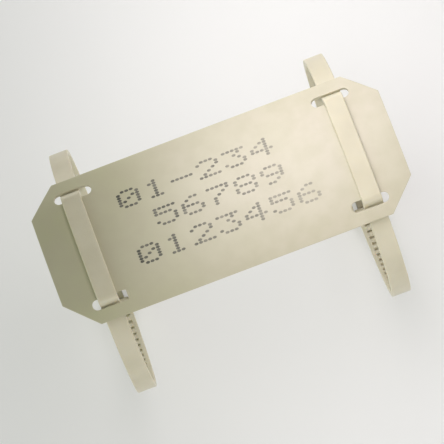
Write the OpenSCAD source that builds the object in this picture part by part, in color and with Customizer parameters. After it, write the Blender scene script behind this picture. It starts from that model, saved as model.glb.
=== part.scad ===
// Cable marker: a die-cut plastic plate that two nylon ties hold along a cable.
// X runs along the cable, Y across it toward the top of the print, and Z out through the
// plate's crown. The origin lies on the cable's axis, midway along the plate.

/* [Cable] */
// Diameter of the cable that the marker is tied to
cable_d = 31; // [26:0.5:40]

/* [Plate] */
// Length of the plate, along the cable
plate_l = 46; // [36:0.5:60]
// Width of the plate before it is bowed over the cable
plate_w = 19; // [17:0.5:24]
// Thickness of the sheet
plate_t = 0.5; // [0.3:0.05:0.7]
// Length that each cut corner takes off both of its edges
corner_cut = 3.75; // [2:0.25:5]
// Distance from the middle of a slot to the plate's near end
slot_end = 5.9; // [5.5:0.1:9]
// Distance from the middle of a slot to the plate's near long edge, on the flat plate
slot_edge = 2.35; // [2:0.05:3]
// Room at the ends of a slot beside the strap's width
slot_room_l = 2.4; // [2:0.1:3.5]
// Room across a slot beside the strap's thickness
slot_room_w = 0.55; // [0.45:0.05:0.8]

/* [Strap] */
// Width of the strap
strap_w = 2.5; // [2:0.1:3]
// Thickness of the strap
strap_t = 0.75; // [0.6:0.05:1]
// Inside radius of the strap's bends at a slot
slot_bend_r = 0.3; // [0.2:0.05:0.4]
// Distance that each strap sits off its slots' centres, toward the plate's end
strap_shift = 0.3; // [0:0.05:0.5]
// Distance from one tooth of the strap to the next
tooth_pitch = 1; // [0.8:0.05:1.3]
// Depth of the notches between the teeth
tooth_d = 0.3; // [0.2:0.05:0.4]
// Flat length left on top of each tooth
tooth_land = 0.25; // [0.15:0.05:0.4]
// Width of the toothed channel between the strap's smooth rails
tooth_w = 1.5; // [1:0.1:1.8]
// Length of smooth strap next to the head
smooth_l = 15; // [8:1:25]
// Length of cut strap that stands out of the head
tail_l = 1; // [0.5:0.1:6]

/* [Head] */
// Width of the head, along the cable
head_w = 4.7; // [4.2:0.1:6]
// Height of the head from the cable to its outer face
head_h = 3.8; // [3.5:0.1:5]
// Thickness of the rounded lip that the strap bends over
lip_wall = 0.9; // [0.7:0.05:1.2]
// Thickness of the wall that the strap grows out of
root_wall = 1.2; // [0.9:0.05:1.6]
// Room in the window for the pawl and its spring travel
pawl_room = 1.8; // [1.5:0.1:2.4]
// Thickness of the pawl
pawl_t = 0.75; // [0.5:0.05:0.9]
// Radius of the head's outer edges
head_edge_r = 0.7; // [0.4:0.1:1]

/* [Fits] */
// Gap between the strap and what it passes over or through
gap = 0.05; // [0.04:0.01:0.1]
// Gap between the strap and the lips of a slot
slot_gap = 0.12; // [0.08:0.02:0.16]

/* [Hidden] */
$fn = 128;
overcut = 0.05;
seam = 0.005;
cable_r = cable_d / 2;
slot_l = strap_w + slot_room_l;
slot_w = strap_t + slot_room_w;
slot_x = plate_l / 2 - slot_end;
slot_arc = plate_w / 2 - slot_edge;

// The plate's crown rests on the cable, and the straps under its long edges lift its slots
lip_arc = slot_arc + slot_w / 2;
lift = strap_t + 2 * gap;
bow_r = 1 / (1 / cable_r - 2 * lift / pow(lip_arc, 2));
sheet_r = bow_r + plate_t / 2;
bow_centre = [0, cable_r - bow_r];

// The strap leans in the slot as far as the slot's width lets it
slot_free = slot_w - 2 * slot_gap;
lean = atan(plate_t / slot_free) + asin(strap_t / norm([slot_free, plate_t]));
slot_mid = ray(bow_centre, sheet_r, 90 - degrees(slot_arc, sheet_r));
slot_dir = unit(180 - degrees(slot_arc, sheet_r) - lean);
slot_side = [-slot_dir[1], slot_dir[0]];

// Centrelines of the strap: on the cable, over the plate, and round its bends at a slot
under_r = cable_r + strap_t / 2;
over_r = bow_r + plate_t + gap + strap_t / 2;
turn_r = slot_bend_r + strap_t / 2;
low_end = reach(slot_mid - turn_r * slot_side, slot_dir, under_r + turn_r);
low_turn = slot_mid - turn_r * slot_side + low_end * slot_dir;
high_end = reach(slot_mid + turn_r * slot_side - bow_centre, slot_dir, over_r - turn_r);
high_turn = slot_mid + turn_r * slot_side + high_end * slot_dir;
low_a = angle(low_turn);
high_a = angle(high_turn - bow_centre);

// Places across the head, from the lip that the strap bends over to the wall that it grows from
head_l = lip_wall + strap_t + 2 * gap + pawl_room + root_wall;
lip_y = -head_l / 2;
tail_y = lip_y + lip_wall + gap + strap_t / 2;
pawl_y = tail_y + strap_t / 2 + gap;
root_y = pawl_y + pawl_room;
window_w = strap_w + 4 * gap;
head_z = -cable_r - head_h;

// The strap's last bend, over the lip and out through the head
lip_turn_r = lip_wall + gap + strap_t / 2;
lip_turn = [lip_y, -sqrt(pow(under_r + lip_turn_r, 2) - pow(lip_y, 2))];
tail_end = head_z - tail_l;
notch_l = tooth_pitch - tooth_land;

function degrees(arc, r) = arc / r * 180 / PI;
function unit(a) = [cos(a), sin(a)];
function ray(c, r, a) = c + r * unit(a);
function angle(p) = atan2(p[1], p[0]);

// Distance along a direction from p to where it leaves the circle of radius r about zero
function reach(p, dir, r) = -p * dir + sqrt(pow(p * dir, 2) - p * p + r * r);

// Extrudes a section drawn across the cable
module along_cable(length) {
    rotate([90, 0, 90])
        linear_extrude(height = length, center = true)
            children();
}

// Puts a flat shape on the bowed sheet, at an arc length from its crown
module on_sheet(x, arc) {
    translate([x, 0, bow_centre[1]])
        rotate([-degrees(arc, sheet_r), 0, 0])
            translate([0, 0, sheet_r])
                children();
}

// A strip bent about c, from angle a1 to a2
module bend(c, r, thick, a1, a2) {
    far = 2 * (r + thick);
    intersection() {
        difference() {
            translate(c) circle(r + thick / 2);
            translate(c) circle(r - thick / 2);
        }
        polygon(concat([c], [for (i = [0:4]) ray(c, far, a1 + (a2 - a1) * i / 4)]));
    }
}

// A straight strip of strap from p to q
module run(p, q) {
    side = strap_t / 2 * unit(angle(q - p) + 90);
    polygon([p + side, q + side, q - side, p - side]);
}

// A rectangle about the middle with round corners
module rounded(length, width, r) {
    square([length - 2 * r, width], center = true);
    square([length, width - 2 * r], center = true);
    for (sx = [-1, 1], sy = [-1, 1])
        translate([sx * (length / 2 - r), sy * (width / 2 - r)])
            circle(r);
}

module slot_cutter() {
    straight_l = slot_l - slot_w;
    linear_extrude(height = 4 * plate_t, center = true) {
        square([straight_l, slot_w], center = true);
        for (side = [-1, 1])
            translate([side * straight_l / 2, 0])
                circle(slot_w / 2);
    }
}

module corner_cutter() {
    cylinder(r = corner_cut, h = 6 * plate_t, center = true, $fn = 4);
}

module marker_plate() {
    half_a = degrees(plate_w / 2, sheet_r);
    color("#ddd6bd")
        difference() {
            along_cable(plate_l)
                bend(bow_centre, sheet_r, plate_t, 90 - half_a, 90 + half_a);
            for (sx = [-1, 1], sy = [-1, 1]) {
                on_sheet(sx * slot_x, sy * slot_arc) slot_cutter();
                on_sheet(sx * plate_l / 2, sy * plate_w / 2) corner_cutter();
            }
        }
}

// A tight bend of the strap, a hair thicker so that the stretches run into it as one solid
module tight_bend(c, r, a1, a2) {
    bend(c, r, strap_t + 2 * seam, a1, a2);
}

// The strap's way through a slot on the side that it climbs
module slot_pass() {
    side_a = angle(slot_side);
    tight_bend(low_turn, turn_r, low_a + 180, side_a + 360);
    run(slot_mid + (low_end - overcut) * slot_dir, slot_mid + (high_end + overcut) * slot_dir);
    tight_bend(high_turn, turn_r, side_a + 180, high_a);
}

module strap_section() {
    under_lap = degrees(overcut, under_r);
    over_lap = degrees(overcut, over_r);
    root_a = -90 + asin((root_y + root_wall / 2) / under_r);
    lip_a = 360 + angle(lip_turn);
    bend([0, 0], under_r, strap_t, root_a, low_a + under_lap);
    slot_pass();
    bend(bow_centre, over_r, strap_t, high_a - over_lap, 180 - high_a + over_lap);
    mirror([1, 0]) slot_pass();
    bend([0, 0], under_r, strap_t, 180 - low_a - under_lap, lip_a + under_lap);
    tight_bend(lip_turn, lip_turn_r, lip_a - 180, 0);
    run([tail_y, lip_turn[1] + overcut], [tail_y, tail_end]);
}

// Saw-tooth notches in the strap's inner face along a bend of inner radius r
module bend_notches(c, r, a1, a2) {
    step = degrees(tooth_pitch, r);
    count = floor((a2 - a1) / step);
    for (i = [0:count - 1]) {
        a = a1 + i * step;
        b = a + degrees(notch_l, r);
        polygon([ray(c, r - overcut, a), ray(c, r + tooth_d, b), ray(c, r - overcut, b)]);
    }
}

// Saw-tooth notches along the straight tail
module tail_notches() {
    face = pawl_y - gap;
    count = floor((lip_turn[1] - tail_end) / tooth_pitch);
    for (i = [0:count - 1]) {
        z = lip_turn[1] - i * tooth_pitch;
        polygon([[face + overcut, z], [face - tooth_d, z - notch_l], [face + overcut, z - notch_l]]);
    }
}

module notches() {
    bend_notches([0, 0], cable_r, -90 + degrees(smooth_l, cable_r), low_a);
    bend_notches(bow_centre, over_r - strap_t / 2, high_a, 180 - high_a);
    bend_notches([0, 0], cable_r, 180 - low_a, 360 + angle(lip_turn));
    tail_notches();
}

// The way through the head: a straight window, open over the rounded lip on the strap's side
module window_section() {
    lip_face = lip_y + lip_wall;
    translate([lip_face, head_z - 1])
        square([root_y - lip_face, head_h + 2]);
    difference() {
        translate([lip_y - 1, lip_turn[1]])
            square([lip_wall + 1 + overcut, cable_r]);
        translate(lip_turn) circle(lip_wall);
    }
}

// The pawl hangs from the root wall near the cable and leans out to the strap's teeth
module pawl_section() {
    hinge_z = -cable_r - pawl_t / 2;
    tip_z = lip_turn[1];
    grip_l = tooth_pitch + notch_l;
    polygon([
        [root_y + overcut, hinge_z],
        [pawl_y + gap, tip_z],
        [pawl_y + gap, tip_z - grip_l],
        [pawl_y + gap + pawl_t, tip_z - grip_l],
        [root_y + overcut, hinge_z - pawl_t]
    ]);
    for (i = [0:1]) {
        z = tip_z - i * tooth_pitch - gap;
        polygon([
            [pawl_y + 2 * gap, z - gap],
            [pawl_y - tooth_d + gap, z - notch_l + 2 * gap],
            [pawl_y + 2 * gap, z - notch_l + 2 * gap]
        ]);
    }
}

module head() {
    top = head_h + strap_t;
    difference() {
        intersection() {
            along_cable(head_w)
                translate([0, head_z + top / 2])
                    rounded(head_l, top, head_edge_r);
            translate([0, 0, head_z - 1])
                linear_extrude(height = top + 2)
                    rounded(head_w, head_l, head_edge_r);
        }
        rotate([0, 90, 0])
            cylinder(r = cable_r, h = head_w + 2, center = true);
        along_cable(window_w) window_section();
    }
    along_cable(tooth_w - 2 * gap) pawl_section();
}

module tie(x) {
    translate([x, 0, 0]) {
        difference() {
            along_cable(strap_w) strap_section();
            along_cable(tooth_w) notches();
        }
        head();
    }
}

module left_tie() {
    color("#e8e2cd") tie(-slot_x - strap_shift);
}

module right_tie() {
    color("#e8e2cd") tie(slot_x + strap_shift);
}

marker_plate();
left_tie();
right_tie();
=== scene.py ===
"""Dresses the cable marker: a bowed ivory plate, its print, and the two ties threaded through it."""
import math

import bmesh
import bpy
from mathutils import Matrix, Vector


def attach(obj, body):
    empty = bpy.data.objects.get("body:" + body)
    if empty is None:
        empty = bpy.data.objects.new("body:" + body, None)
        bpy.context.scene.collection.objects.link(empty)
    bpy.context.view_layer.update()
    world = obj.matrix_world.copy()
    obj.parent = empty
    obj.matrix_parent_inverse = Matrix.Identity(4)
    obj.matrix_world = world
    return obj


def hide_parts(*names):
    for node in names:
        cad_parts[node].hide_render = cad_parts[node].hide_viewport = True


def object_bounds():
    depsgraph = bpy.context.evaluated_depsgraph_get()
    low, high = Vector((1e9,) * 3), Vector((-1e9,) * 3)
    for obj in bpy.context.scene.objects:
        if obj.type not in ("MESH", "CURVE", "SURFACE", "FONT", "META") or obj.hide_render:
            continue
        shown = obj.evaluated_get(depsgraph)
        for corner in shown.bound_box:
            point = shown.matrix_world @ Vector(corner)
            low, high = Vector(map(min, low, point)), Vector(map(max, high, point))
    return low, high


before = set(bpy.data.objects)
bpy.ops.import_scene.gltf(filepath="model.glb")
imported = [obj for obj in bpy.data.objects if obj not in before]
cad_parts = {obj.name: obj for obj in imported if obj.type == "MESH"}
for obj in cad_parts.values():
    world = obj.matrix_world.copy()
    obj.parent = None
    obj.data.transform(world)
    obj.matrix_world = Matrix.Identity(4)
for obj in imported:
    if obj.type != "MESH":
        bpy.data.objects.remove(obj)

cad_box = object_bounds()

# Pieces are modelled in millimetres and shrunk to the frame's metres when they are finished
MM = 0.001

# Driving sizes, as the solids have them
cable_r = 15.5
plate_l = 46
plate_w = 19
plate_t = 0.5
corner_cut = 3.75
slot_end = 5.9
slot_edge = 2.35
slot_x = plate_l / 2 - slot_end
slot_arc = plate_w / 2 - slot_edge
slot_l = 4.9
slot_w = 1.3
strap_w = 2.5
strap_t = 0.75
strap_shift = 0.3
strap_lean = 65.0
slot_bend_r = 0.3
tooth_pitch = 1.0
tooth_d = 0.3
tooth_land = 0.25
tooth_w = 1.5
smooth_l = 15
tail_l = 1.0
head_w = 4.7
head_h = 3.8
head_edge_r = 0.7
lip_wall = 0.9
root_wall = 1.2
pawl_room = 1.8
pawl_t = 0.75
gap = 0.05
overcut = 0.05

# Fine edges, in millimetres, that only the dressed pieces have
sheet_edge = 0.06
strap_edge_r = 0.14
head_foot_r = 0.45
lip_edge_r = 0.9 * lip_wall
slot_end_r = 0.499 * slot_w

# How finely pieces are made: rows of the sheet, degrees per step of a turn, and sides of round things
rows_across = 64
rows_along = 46
turn_step = 5
bore_sides = 256
dot_sides = 12

# Angles below which faces shade as one, and above which an edge is broken
smooth_below = math.radians(35)
sharp_above = math.radians(80)

# Lengths: one that is as good as none, one under which points are welded, and one that no small edge has
hair = 0.01
weld = 0.0001
long_edge = 1

# A face of the flat sheet that faces up or down less than this belongs to its edge
face_on = 0.9

# The plate's bow: its slots are lifted by the straps that pass under its long edges
lip_arc = slot_arc + slot_w / 2
lift = strap_t + 2 * gap
bow_r = 1 / (1 / cable_r - 2 * lift / lip_arc ** 2)
sheet_r = bow_r + plate_t / 2
bow_centre = Vector((0, cable_r - bow_r))
cable_centre = Vector((0, 0))


def ray(centre, radius, degrees):
    """Point of the section across the plate, at an angle round a centre."""
    return centre + radius * Vector((math.cos(math.radians(degrees)), math.sin(math.radians(degrees))))


def angle(point):
    return math.degrees(math.atan2(point.y, point.x))


def reach(point, heading, radius):
    """Distance along a heading from a point to where it leaves a circle about zero."""
    ahead = point.dot(heading)
    return math.sqrt(ahead ** 2 - point.dot(point) + radius ** 2) - ahead


# The strap's way through a slot, between a bend under the plate and a bend over it
slot_a = math.degrees(slot_arc / sheet_r)
slot_mid = ray(bow_centre, sheet_r, 90 - slot_a)
slot_heading = ray(Vector((0, 0)), 1, 180 - slot_a - strap_lean)
slot_side = Vector((-slot_heading.y, slot_heading.x))
under_r = cable_r + strap_t / 2
over_r = bow_r + plate_t + gap + strap_t / 2
turn_r = slot_bend_r + strap_t / 2
low_end = reach(slot_mid - turn_r * slot_side, slot_heading, under_r + turn_r)
low_turn = slot_mid - turn_r * slot_side + low_end * slot_heading
high_end = reach(slot_mid + turn_r * slot_side - bow_centre, slot_heading, over_r - turn_r)
high_turn = slot_mid + turn_r * slot_side + high_end * slot_heading
low_a = angle(low_turn)
high_a = angle(high_turn - bow_centre)
side_a = angle(slot_side) % 360

# Places across the head, from the lip that the strap bends over to the wall that it grows from
head_l = lip_wall + strap_t + 2 * gap + pawl_room + root_wall
lip_y = -head_l / 2
lip_face = lip_y + lip_wall
tail_y = lip_face + gap + strap_t / 2
pawl_y = tail_y + strap_t / 2 + gap
root_y = pawl_y + pawl_room
window_w = strap_w + 4 * gap
head_z = -cable_r - head_h
lip_turn_r = lip_wall + gap + strap_t / 2
lip_turn = Vector((lip_y, -math.sqrt((under_r + lip_turn_r) ** 2 - lip_y ** 2)))
lip_a = angle(lip_turn) % 360
root_a = -90 + math.degrees(math.asin((root_y + root_wall / 2) / under_r))
tail_end = head_z - tail_l
notch_l = tooth_pitch - tooth_land


def add(primitive, scale=(1, 1, 1), **settings):
    """Adds one primitive, alone in the selection, with its size and place in its mesh."""
    bpy.ops.object.select_all(action="DESELECT")
    primitive(**settings)
    bpy.context.object.scale = scale
    bpy.ops.object.transform_apply(location=True, rotation=True, scale=True)
    return bpy.context.object


def take(*pieces):
    """Selects pieces alone, with the first one in hand."""
    bpy.ops.object.select_all(action="DESELECT")
    for piece in pieces:
        piece.select_set(True)
    bpy.context.view_layer.objects.active = pieces[0]


def start_edit(piece):
    take(piece)
    bpy.ops.object.mode_set(mode="EDIT")
    bpy.ops.mesh.select_all(action="SELECT")


def end_edit():
    bpy.ops.object.mode_set(mode="OBJECT")


def pick_edges(test):
    """Selects the edges whose two ends pass a test."""
    bpy.ops.mesh.select_mode(type="EDGE")
    bpy.ops.mesh.select_all(action="DESELECT")
    mesh = bpy.context.object.data
    shape = bmesh.from_edit_mesh(mesh)
    for edge in shape.edges:
        edge.select_set(test(edge.verts[0].co, edge.verts[1].co))
    bmesh.update_edit_mesh(mesh)


def pick_faces(test):
    """Selects the faces whose middle and normal pass a test."""
    bpy.ops.mesh.select_mode(type="FACE")
    bpy.ops.mesh.select_all(action="DESELECT")
    mesh = bpy.context.object.data
    shape = bmesh.from_edit_mesh(mesh)
    for face in shape.faces:
        face.select_set(test(face.calc_center_median(), face.normal))
    bmesh.update_edit_mesh(mesh)


def copy_of(piece, place):
    """Copies a piece, with its own mesh, and moves the copy by a matrix."""
    twin = piece.copy()
    twin.data = piece.data.copy()
    twin.data.transform(place)
    bpy.context.collection.objects.link(twin)
    return twin


def join(*pieces):
    take(*pieces)
    bpy.ops.object.join()
    return bpy.context.object


def combine(piece, other, operation):
    """Cuts another shape out of a piece, or fuses it to the piece."""
    take(piece)
    tool = piece.modifiers.new("combine", "BOOLEAN")
    tool.operation = operation
    tool.solver = "EXACT"
    tool.use_self = True
    tool.object = other
    bpy.ops.object.modifier_apply(modifier=tool.name)
    bpy.data.objects.remove(other)


def cut(piece, cutter):
    combine(piece, cutter, "DIFFERENCE")


def fuse(piece, other):
    combine(piece, other, "UNION")


def prism(corners, width):
    """A bar along X with the given section, from a filled ring of as many points."""
    bar = add(bpy.ops.mesh.primitive_circle_add, vertices=len(corners), radius=1, fill_type="NGON")
    for point, corner in zip(bar.data.vertices, corners):
        point.co = (-width / 2, corner[0], corner[1])
    start_edit(bar)
    bpy.ops.mesh.extrude_region_move(TRANSFORM_OT_translate={"value": (width, 0, 0)})
    bpy.ops.mesh.select_all(action="SELECT")
    bpy.ops.mesh.normals_make_consistent(inside=False)
    end_edit()
    return bar


def turned(degrees):
    """Matrix that turns about the frame's X axis."""
    return Matrix.Rotation(math.radians(degrees), 4, "X")


def bow(piece):
    """Bends a flat piece to the plate's bow: stood up, bent, laid down and lifted to the crown."""
    take(piece)
    piece.rotation_euler.x = math.radians(90)
    bpy.ops.object.transform_apply(rotation=True)
    bend = piece.modifiers.new("bow", "SIMPLE_DEFORM")
    bend.deform_method = "BEND"
    bend.deform_axis = "X"
    bend.angle = piece.dimensions.z / sheet_r
    bpy.ops.object.modifier_apply(modifier=bend.name)
    piece.rotation_euler.x = math.radians(-90)
    piece.location.z = cable_r + plate_t / 2
    bpy.ops.object.transform_apply(location=True, rotation=True)


def finish_piece(piece, name, finish=None, node=None):
    """Smooths a piece, shrinks it to metres, and hands it to the frame."""
    take(piece)
    piece.name = name
    piece.data.name = name
    bpy.ops.object.shade_smooth_by_angle(angle=smooth_below)
    even = piece.modifiers.new("even_shading", "WEIGHTED_NORMAL")
    even.keep_sharp = True
    bpy.ops.object.modifier_apply(modifier=even.name)
    piece.scale = (MM, MM, MM)
    bpy.ops.object.transform_apply(location=True, rotation=True, scale=True)
    if finish is not None:
        piece.data.materials.clear()
        piece.data.materials.append(finish)
    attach(piece, "root")
    if node is not None:
        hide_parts(node)


class Value:
    """A socket of a material, with arithmetic that adds Math nodes."""

    def __init__(self, finish, socket):
        self.finish = finish
        self.socket = socket

    def math(self, operation, first, second):
        return self.finish.node("Math", {"operation": operation}, {0: first, 1: second})

    def __add__(self, other):
        return self.math("ADD", self, other)

    def __radd__(self, other):
        return self.math("ADD", other, self)

    def __mul__(self, other):
        return self.math("MULTIPLY", self, other)

    def __rmul__(self, other):
        return self.math("MULTIPLY", other, self)


class Finish:
    """A material written as expressions on its sockets."""

    def __init__(self, name):
        self.material = bpy.data.materials.new(name)
        self.material.use_nodes = True
        self.tree = self.material.node_tree
        self.shader = self.tree.nodes["Principled BSDF"]

    def node(self, kind, settings=None, inputs=None, output=0):
        """Adds a node: its settings first, then its sockets' values or links."""
        made = self.tree.nodes.new("ShaderNode" + kind)
        for key, value in (settings or {}).items():
            setattr(made, key, value)
        for key, value in (inputs or {}).items():
            self.feed(made.inputs[key], value)
        return Value(self, made.outputs[output])

    def feed(self, socket, value):
        if isinstance(value, Value):
            self.tree.links.new(value.socket, socket)
        else:
            socket.default_value = value

    def surface(self, **sockets):
        """Feeds the shader's sockets, named with _ for a space."""
        for key, value in sockets.items():
            self.feed(self.shader.inputs[key.replace("_", " ")], value)
        return self.material

    def place(self):
        return self.node("TexCoord", output="Object")

    def along(self, start, end):
        """Rises from 0 to 1 between two places along X, in millimetres."""
        return self.spread(self.node("SeparateXYZ", inputs={0: self.place()}), start * MM, end * MM)

    def noise(self, size, detail=2.0, roughness=0.5):
        """Noise from 0 to 1, with patches of about the given size in millimetres."""
        inputs = {"Vector": self.place(), "Scale": 1 / (size * MM), "Detail": detail, "Roughness": roughness}
        return self.node("TexNoise", inputs=inputs)

    def spread(self, value, low, high):
        """Stretches a value from low to high over 0 to 1."""
        return self.node("MapRange", {"clamp": True}, {"Value": value, "From Min": low, "From Max": high})

    def blend(self, amount, first, second):
        """Mixes two colours."""
        return self.node("Mix", {"data_type": "RGBA"}, {0: amount, 6: first, 7: second}, output=2)

    def bump(self, height, depth):
        """Raises a height from 0 to 1 by a depth in millimetres."""
        return self.node("Bump", inputs={"Height": height, "Distance": depth * MM, "Strength": 1.0})


def shade(red, green, blue):
    return (red, green, blue, 1)


def ivory_sheet():
    """Calendered ivory plastic: clouded, with painted shade making it darker and greener towards the left end
    and painted light making it rosier towards the right, and a low uneven sheen.
    """
    sheet = Finish("ivory_sheet")
    # The greenish colour is also painted shade at the left end, and the rosy one painted light at the right
    # end
    greenish_and_painted_shade = shade(0.475, 0.465, 0.29)
    rosy = shade(0.545, 0.50, 0.385)
    yellowed = shade(0.475, 0.445, 0.305)
    cloud = sheet.spread(sheet.noise(7, 1.5), 0.3, 0.7)
    smudge = sheet.noise(2.5, 2.0)
    ripple = sheet.noise(6, 1.0)
    mottle = sheet.spread(sheet.noise(2.2, 2.0), 0.35, 0.65)
    # Painted light: the drift along X makes the sheet darker and greener at the left end and lighter and
    # rosier at the right; the clouding is the sheet's own uneven tone
    base = sheet.blend(0.35 * cloud + 0.65 * sheet.along(-20, 10), greenish_and_painted_shade, rosy)
    aged_with_painted_light = sheet.blend(0.6 * mottle, base, yellowed)
    return sheet.surface(Base_Color=aged_with_painted_light, Roughness=0.3 + 0.04 * cloud + 0.06 * smudge,
                         Normal=sheet.bump(ripple, 0.04), Specular_IOR_Level=1.0)


def die_cut_edge_and_highlight():
    """The sheet's cut edge: rougher, with fine marks of the die, and paler, partly as its own colour and
    partly as a painted highlight where the edge catches light.
    """
    edge = Finish("die_cut_edge_and_highlight")
    marks = edge.noise(0.25, 3.0, 0.7)
    # Both edge colours are paler than the sheet: partly the cut edge's own colour, partly a painted highlight
    # along the edge
    dull = shade(0.60, 0.56, 0.42)
    pale = shade(0.68, 0.64, 0.50)
    base = edge.blend(edge.spread(marks, 0.3, 0.7), dull, pale)
    return edge.surface(Base_Color=base, Roughness=0.55 + 0.15 * marks, Normal=edge.bump(marks, 0.02))


def milky_nylon():
    """Natural nylon: milky cream, slightly clouded, with a soft moulded sheen."""
    nylon = Finish("milky_nylon")
    cloud = nylon.spread(nylon.noise(3.5, 2.0), 0.3, 0.7)
    grain = nylon.noise(0.2, 2.0)
    cream = shade(0.57, 0.53, 0.395)
    milk = shade(0.625, 0.585, 0.445)
    base = nylon.blend(cloud, cream, milk)
    return nylon.surface(Base_Color=base, Roughness=0.36 + 0.10 * cloud, Normal=nylon.bump(grain, 0.012),
                         Subsurface_Weight=0.25, Subsurface_Radius=(1.0, 0.8, 0.5), Subsurface_Scale=0.5 * MM)


def marking_ink():
    """Ribbon ink: grey, uneven from dot to dot, and paler toward the right end of the lines as painted glare.
    """
    ink = Finish("marking_ink")
    worn = ink.spread(ink.noise(0.9, 2.0), 0.35, 0.75)
    full = shade(0.07, 0.07, 0.055)
    faded_and_painted_glare = shade(0.50, 0.47, 0.38)
    # Painted highlight: the drift along X pales the ink toward the right as glare would; the worn patches are
    # the ink's own unevenness
    base = ink.blend(0.3 * worn + 0.65 * ink.along(-12, 14), full, faded_and_painted_glare)
    return ink.surface(Base_Color=base, Roughness=0.45 + 0.1 * worn)


def slice_across(piece, normal, length, count):
    """Slices a piece into even rows, so that it can bend and its shading keeps to its edges."""
    start_edit(piece)
    for number in range(1, count):
        bpy.ops.mesh.select_all(action="SELECT")
        bpy.ops.mesh.bisect(plane_co=(number / count - 0.5) * length * Vector(normal), plane_no=normal,
                            threshold=weld)
    end_edit()


def make_plate():
    """The plate: a sheet with cut corners and four slots, bowed as the ties hold it."""
    plate = add(bpy.ops.mesh.primitive_cube_add, size=1, scale=(plate_l, plate_w, plate_t))
    start_edit(plate)
    pick_edges(lambda a, b: abs(a.z - b.z) > plate_t / 2)
    bpy.ops.mesh.bevel(offset=corner_cut, segments=1, affect="EDGES")
    end_edit()

    slots = []
    for side_x in (-1, 1):
        for side_y in (-1, 1):
            slot = add(bpy.ops.mesh.primitive_cube_add, size=1, scale=(slot_l, slot_w, 4 * plate_t),
                       location=(side_x * slot_x, side_y * slot_arc, 0))
            start_edit(slot)
            pick_edges(lambda a, b: abs(a.z - b.z) > plate_t)
            bpy.ops.mesh.bevel(offset=slot_end_r, segments=10, affect="EDGES")
            end_edit()
            slots.append(slot)
    cut(plate, join(*slots))

    start_edit(plate)
    bpy.ops.mesh.select_mode(type="EDGE")
    bpy.ops.mesh.select_all(action="DESELECT")
    bpy.ops.mesh.edges_select_sharp(sharpness=sharp_above)
    bpy.ops.mesh.bevel(offset=sheet_edge, segments=2, affect="EDGES")
    end_edit()
    slice_across(plate, (0, 1, 0), plate_w, rows_across)
    slice_across(plate, (1, 0, 0), plate_l, rows_along)

    plate.data.materials.append(ivory_sheet())
    plate.data.materials.append(die_cut_edge_and_highlight())
    start_edit(plate)
    pick_faces(lambda middle, normal: abs(normal.z) < face_on)
    bpy.context.object.active_material_index = 1
    bpy.ops.object.material_slot_assign()
    end_edit()
    bow(plate)
    finish_piece(plate, "bowed_plate", node="marker_plate")


dot_font = {
    "0": ("01110", "10001", "10011", "10101", "11001", "10001", "01110"),
    "1": ("00100", "01100", "00100", "00100", "00100", "00100", "01110"),
    "2": ("01110", "10001", "00001", "00010", "00100", "01000", "11111"),
    "3": ("11111", "00010", "00100", "00010", "00001", "10001", "01110"),
    "4": ("00010", "00110", "01010", "10010", "11111", "00010", "00010"),
    "5": ("11111", "10000", "11110", "00001", "00001", "10001", "01110"),
    "6": ("00110", "01000", "10000", "11110", "10001", "10001", "01110"),
    "7": ("11111", "00001", "00010", "00100", "01000", "01000", "01000"),
    "8": ("01110", "10001", "10001", "01110", "10001", "10001", "01110"),
    "9": ("01110", "10001", "10001", "01111", "00001", "00010", "01100"),
    "-": ("00000", "00000", "00000", "11111", "00000", "00000", "00000"),
}
# Printed lines: the digits, the middle of the line along the plate, and its height on the plate
print_lines = (("01-234", -1.9, 4.05), ("56789", 0.0, 0.35), ("0123456", -0.1, -3.4))
dot_d = 0.33
dot_stretch = 1.6
dot_rise = 0.015
dot_wall = 1.6 * dot_rise
dot_crown = 0.4 * dot_rise
dot_shoulder = 0.15 * dot_d
middle_column = 2
middle_row = 3
column_pitch = 0.6
row_pitch = 0.34
letter_pitch = 3.5


def make_dot():
    """One dot of ink: a low oval pillow, sunk a little into the sheet's face."""
    dot = add(bpy.ops.mesh.primitive_circle_add, vertices=dot_sides, radius=dot_d / 2, fill_type="NGON",
              scale=(dot_stretch, 1, 1))
    start_edit(dot)
    bpy.ops.transform.translate(value=(0, 0, plate_t / 2 - dot_rise))
    bpy.ops.mesh.extrude_region_move(TRANSFORM_OT_translate={"value": (0, 0, dot_wall)})
    bpy.ops.mesh.inset(thickness=dot_shoulder, depth=dot_crown)
    bpy.ops.mesh.select_all(action="SELECT")
    bpy.ops.mesh.normals_make_consistent(inside=False)
    end_edit()
    return dot


def make_print(ink):
    """The printed lines: dots on the digits' grid, bowed with the sheet."""
    dot = make_dot()
    dots = []
    for text, middle, height in print_lines:
        first = middle - letter_pitch * (len(text) - 1) / 2
        for place, letter in enumerate(text):
            for row, marks in enumerate(dot_font[letter]):
                for column, mark in enumerate(marks):
                    if mark == "1":
                        x = first + place * letter_pitch + (column - middle_column) * column_pitch
                        y = height + (middle_row - row) * row_pitch
                        dots.append(copy_of(dot, Matrix.Translation((x, y, 0))))
    bpy.data.objects.remove(dot)
    lines = join(*dots)
    bow(lines)
    finish_piece(lines, "printed_digits", ink)


def sweep(centre, turn):
    """Spins the strap's end about a line along X."""
    steps = max(3, round(abs(turn) / turn_step))
    bpy.ops.mesh.spin(steps=steps, angle=-math.radians(turn), center=(0, centre.x, centre.y), axis=(1, 0, 0))


def run(step):
    """Draws the strap's end straight on."""
    bpy.ops.mesh.extrude_edges_move(TRANSFORM_OT_translate={"value": (0, step.x, step.y)})


def mirrored(point):
    return Vector((-point.x, point.y))


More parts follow.
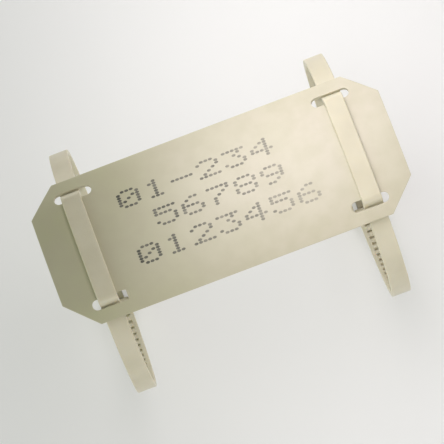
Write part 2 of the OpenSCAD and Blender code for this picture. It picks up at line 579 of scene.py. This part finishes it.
def make_strap():
    """The strap, from the head's root wall round its loop and over the plate, then in over the lip."""
    strap = add(bpy.ops.mesh.primitive_plane_add, size=1, rotation=(math.radians(90), 0, 0),
                scale=(strap_w, strap_t, 1), location=(0, 0, -under_r))
    start_edit(strap)
    bpy.ops.mesh.bevel(offset=strap_edge_r, segments=3, affect="VERTICES")
    bpy.ops.mesh.select_all(action="SELECT")
    bpy.ops.transform.rotate(value=-math.radians(root_a + 90), orient_axis="X", center_override=(0, 0, 0))
    bpy.ops.mesh.delete(type="ONLY_FACE")
    bpy.ops.mesh.select_mode(type="EDGE")
    bpy.ops.mesh.select_all(action="SELECT")
    through = (high_end - low_end) * slot_heading
    low_bend = side_a - (low_a + 180)
    high_bend = high_a - (side_a - 180)
    sweep(cable_centre, low_a - root_a)
    sweep(low_turn, low_bend)
    run(through)
    sweep(high_turn, high_bend)
    sweep(bow_centre, 180 - 2 * high_a)
    sweep(mirrored(high_turn), high_bend)
    run(Vector((through.x, -through.y)))
    sweep(mirrored(low_turn), low_bend)
    sweep(cable_centre, lip_a - (180 - low_a))
    sweep(lip_turn, 180 - lip_a)
    run(Vector((0, tail_end - lip_turn.y)))
    bpy.ops.mesh.edge_face_add()
    bpy.ops.mesh.select_all(action="SELECT")
    bpy.ops.mesh.remove_doubles(threshold=weld)
    bpy.ops.mesh.fill_holes(sides=0)
    bpy.ops.mesh.normals_make_consistent(inside=False)
    end_edit()
    return strap


def cut_teeth(strap):
    """Cuts the saw-tooth notches in the strap's inner face, between its smooth rails."""
    inner = -cable_r
    notch = prism([(0, inner + overcut), (notch_l, inner - tooth_d), (notch_l, inner + overcut)], tooth_w)
    step = math.degrees(tooth_pitch / cable_r)
    notches = []
    for start, end in ((math.degrees(smooth_l / cable_r), low_a + 90), (270 - low_a, lip_a + 90)):
        for number in range(int((end - start) / step)):
            notches.append(copy_of(notch, turned(start + number * step)))
    face = tail_y + strap_t / 2
    for number in range(int((lip_turn.y - tail_end) / tooth_pitch)):
        z = lip_turn.y - number * tooth_pitch
        place = Matrix.Translation((0, face, z)) @ Matrix.Rotation(math.radians(-90), 4, "X")
        notches.append(copy_of(notch, place @ Matrix.Translation((0, 0, cable_r))))
    bpy.data.objects.remove(notch)
    cut(strap, join(*notches))


def make_head():
    """The head: a rounded block under the loop, with a window and a lip that the strap bends over."""
    tall = head_h + strap_t
    head = add(bpy.ops.mesh.primitive_cube_add, size=1, scale=(head_w, head_l, tall),
               location=(0, 0, head_z + tall / 2))
    start_edit(head)
    pick_edges(lambda a, b: abs(a.z - b.z) > long_edge)
    bpy.ops.mesh.bevel(offset=head_edge_r, segments=5, affect="EDGES")
    pick_edges(lambda a, b: max(a.z, b.z) < head_z + hair)
    bpy.ops.mesh.bevel(offset=head_foot_r, segments=4, affect="EDGES")
    end_edit()
    cut(head, add(bpy.ops.mesh.primitive_cylinder_add, vertices=bore_sides, radius=cable_r, depth=2 * head_w,
                  rotation=(0, math.radians(90), 0)))
    cut(head, add(bpy.ops.mesh.primitive_cube_add, size=1, scale=(window_w, root_y - lip_face, 3 * tall),
                  location=(0, (root_y + lip_face) / 2, head_z)))
    cut(head, add(bpy.ops.mesh.primitive_cube_add, size=1, scale=(window_w, 2 * lip_wall, tall),
                  location=(0, lip_face - lip_wall + overcut, lip_turn.y + tall / 2)))
    start_edit(head)
    pick_edges(lambda a, b: (a.yz - b.yz).length < hair and abs(a.x - b.x) > long_edge
               and abs(a.y - lip_face) < 2 * overcut and abs(a.z - lip_turn.y) < hair)
    bpy.ops.mesh.bevel(offset=lip_edge_r, segments=6, affect="EDGES")
    end_edit()
    return head


def make_pawl():
    """The pawl: a tongue from the root wall that leans to the strap, with two teeth in its notches."""
    hinge_z = -cable_r - pawl_t / 2
    tip_z = lip_turn.y
    grip_l = tooth_pitch + notch_l
    pawl_w = tooth_w - 2 * gap
    face = pawl_y + gap
    tongue = prism([(root_y + overcut, hinge_z), (face, tip_z), (face, tip_z - grip_l),
                    (face + pawl_t, tip_z - grip_l), (root_y + overcut, hinge_z - pawl_t)], pawl_w)
    teeth = []
    for number in range(2):
        z = tip_z - number * tooth_pitch - gap
        teeth.append(prism([(face + gap, z - gap), (face - tooth_d, z - notch_l + 2 * gap),
                            (face + gap, z - notch_l + 2 * gap)], pawl_w))
    return join(tongue, *teeth)


def make_ties(nylon):
    """One tie, modelled about the plane x = 0, and a copy of it at each end of the plate."""
    tie = make_strap()
    cut_teeth(tie)
    fuse(tie, make_head())
    fuse(tie, make_pawl())
    for name, node, side in (("threaded_tie_left", "left_tie", -1), ("threaded_tie_right", "right_tie", 1)):
        twin = copy_of(tie, Matrix.Translation((side * (slot_x + strap_shift), 0, 0)))
        finish_piece(twin, name, nylon, node)
    bpy.data.objects.remove(tie)


def aim(lamp, place, target):
    """Puts a lamp at a place, facing a target, turned so that its width never lies along Y."""
    back = (Vector(place) - Vector(target)).normalized()
    side = Vector((0, 1, 0)).cross(back).normalized()
    turn = Matrix((side, back.cross(side), back)).transposed().to_4x4()
    lamp.matrix_world = Matrix.Translation(Vector(place) * MM) @ turn


def add_lamp(name, place, size, power, colour, target, spread):
    """A soft box of the given width and length, in millimetres, power in watts and spread in degrees."""
    lamp = bpy.data.objects.new(name, bpy.data.lights.new(name, "AREA"))
    lamp.data.shape = "RECTANGLE"
    lamp.data.size = size[0] * MM
    lamp.data.size_y = size[1] * MM
    lamp.data.energy = power
    lamp.data.color = colour
    lamp.data.spread = math.radians(spread)
    bpy.context.collection.objects.link(lamp)
    aim(lamp, place, target)


# Lamps: name, place, size, power, colour, the place that it faces, and its spread
warm = (1.0, 0.98, 0.95)
part_middle = (0, 0, 10)
lamps = (
    ("rosy_key", (11, 18, 56), (36, 150), 0.0245, (1.0, 0.94, 0.97), (19, 4, 16), 110),
    ("low_right", (110, 10, 75), (30, 90), 0.012, (1.0, 0.96, 0.94), (25, 0, 15), 180),
    ("green_fill", (-220, -30, 150), (200, 200), 0.03, (0.82, 1.0, 0.80), (-20, 0, 10), 70),
    ("far_side", (0, 320, 60), (300, 120), 0.3, warm, part_middle, 180),
    ("near_side", (0, -320, 60), (300, 120), 0.36, warm, part_middle, 180),
    ("left_side", (-320, 0, 60), (120, 300), 0.22, warm, part_middle, 180),
    ("right_side", (320, 0, 60), (120, 300), 0.28, warm, part_middle, 180),
)


def make_studio():
    """A pale floor and room, a rosy key over the right half, and low soft light all round."""
    floor_w = 3
    floor = add(bpy.ops.mesh.primitive_plane_add, size=floor_w, location=(0, 0, cad_box[0].z))
    floor.name = "studio_floor"
    pale = Finish("pale_floor")
    floor.data.materials.append(pale.surface(Base_Color=shade(0.66, 0.66, 0.655), Roughness=0.7,
                                             Emission_Color=shade(1.0, 1.0, 1.0), Emission_Strength=0.22))
    for lamp in lamps:
        add_lamp(*lamp)
    room = bpy.data.worlds.new("pale_room")
    room.use_nodes = True
    background = room.node_tree.nodes["Background"]
    background.inputs["Color"].default_value = shade(1.0, 1.0, 0.98)
    background.inputs["Strength"].default_value = 0.22
    bpy.context.scene.world = room
    bpy.context.scene.view_settings.view_transform = "Standard"


def make_camera():
    """A long lens, a little below the plate's crown, rolled so that the plate climbs to the right."""
    tilt = math.radians(12.5)
    roll = math.radians(20.7)
    distance = 420
    view_w = 57
    target = Vector((-0.9, 0.5, 0))
    back = Vector((0, -math.sin(tilt), math.cos(tilt)))
    along = Vector((1, 0, 0))
    across = back.cross(along)
    right = math.cos(roll) * along - math.sin(roll) * across
    up = math.sin(roll) * along + math.cos(roll) * across
    camera = bpy.data.objects.new("camera", bpy.data.cameras.new("camera"))
    camera.data.lens = camera.data.sensor_width * distance / view_w
    camera.data.clip_start = 0.01
    camera.matrix_world = (Matrix.Translation((target + distance * back) * MM)
                           @ Matrix((right, up, back)).transposed().to_4x4())
    bpy.context.collection.objects.link(camera)
    bpy.context.scene.camera = camera


make_studio()
make_camera()
make_plate()
make_print(marking_ink())
make_ties(milky_nylon())
